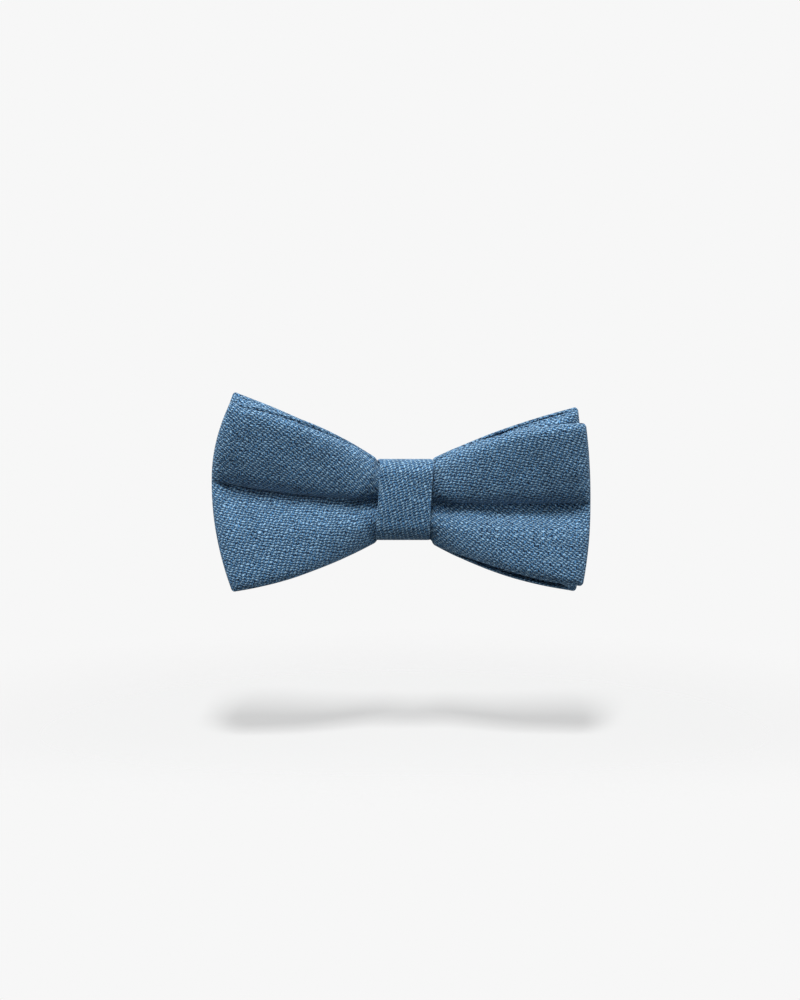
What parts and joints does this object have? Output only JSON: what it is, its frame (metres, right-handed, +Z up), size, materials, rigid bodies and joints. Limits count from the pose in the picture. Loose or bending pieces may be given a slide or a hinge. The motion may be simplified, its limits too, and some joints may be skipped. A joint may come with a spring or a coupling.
{
  "type": "clip-on bow tie",
  "caption": "Pre-tied denim bow tie: a taller rear bow and a front bow, each a pleated loop with open ends, gathered by a wrapped knot over a sprung two-jaw collar clip.",
  "frame": {"origin": "centre of the clip plate's rear face, level with the middle of the knot; the collar lies against this face", "axes": "+X to the right seen from the front, +Y back towards the wearer's collar, +Z up"},
  "size_m": [0.1201, 0.0292, 0.0637],
  "materials": {
    "denim": "blue and white twill, washed",
    "interlining": "off-white, unglazed",
    "thread": "matt blue thread",
    "clip_steel": "nickel-plated strip",
    "pin_steel": "bright headed pin",
    "spring_wire": "drawn spring wire",
    "pad_vinyl": "ribbed, translucent grey"
  },
  "bodies": {
    "bow": {"rear_bow_shell": "denim", "rear_bow_interlining": "interlining", "rear_bow_end_stitches": "thread", "front_bow_shell": "denim", "front_bow_interlining": "interlining", "front_bow_end_stitches": "thread", "binding_thread": "thread", "knot_band": "denim", "knot_band_interlining": "interlining", "knot_closing_stitches": "thread", "clip_plate": "clip_steel", "plate_sewing_threads": "thread", "right_hinge_pin": "pin_steel", "left_hinge_pin": "pin_steel", "right_spring": "spring_wire", "left_spring": "spring_wire"},
    "right_clip_jaw": {"right_jaw": "clip_steel", "right_jaw_pad": "pad_vinyl"},
    "left_clip_jaw": {"left_jaw": "clip_steel", "left_jaw_pad": "pad_vinyl"}
  },
  "joints": [
    {"name": "right_jaw_hinge", "type": "hinge", "parent": "bow", "child": "right_clip_jaw", "pos_m": [0.014, 0.0029, 0], "axis": [0, 0, 1], "range_deg": [0, 32], "stiffness_Nm_per_rad": 0.03, "springref_deg": -40.11, "deforming": ["right_spring"]},
    {"name": "left_jaw_hinge", "type": "hinge", "parent": "bow", "child": "left_clip_jaw", "pos_m": [-0.014, 0.0029, 0], "axis": [0, 0, -1], "range_deg": [0, 32], "stiffness_Nm_per_rad": 0.03, "springref_deg": -40.11, "deforming": ["left_spring"]}
  ]
}
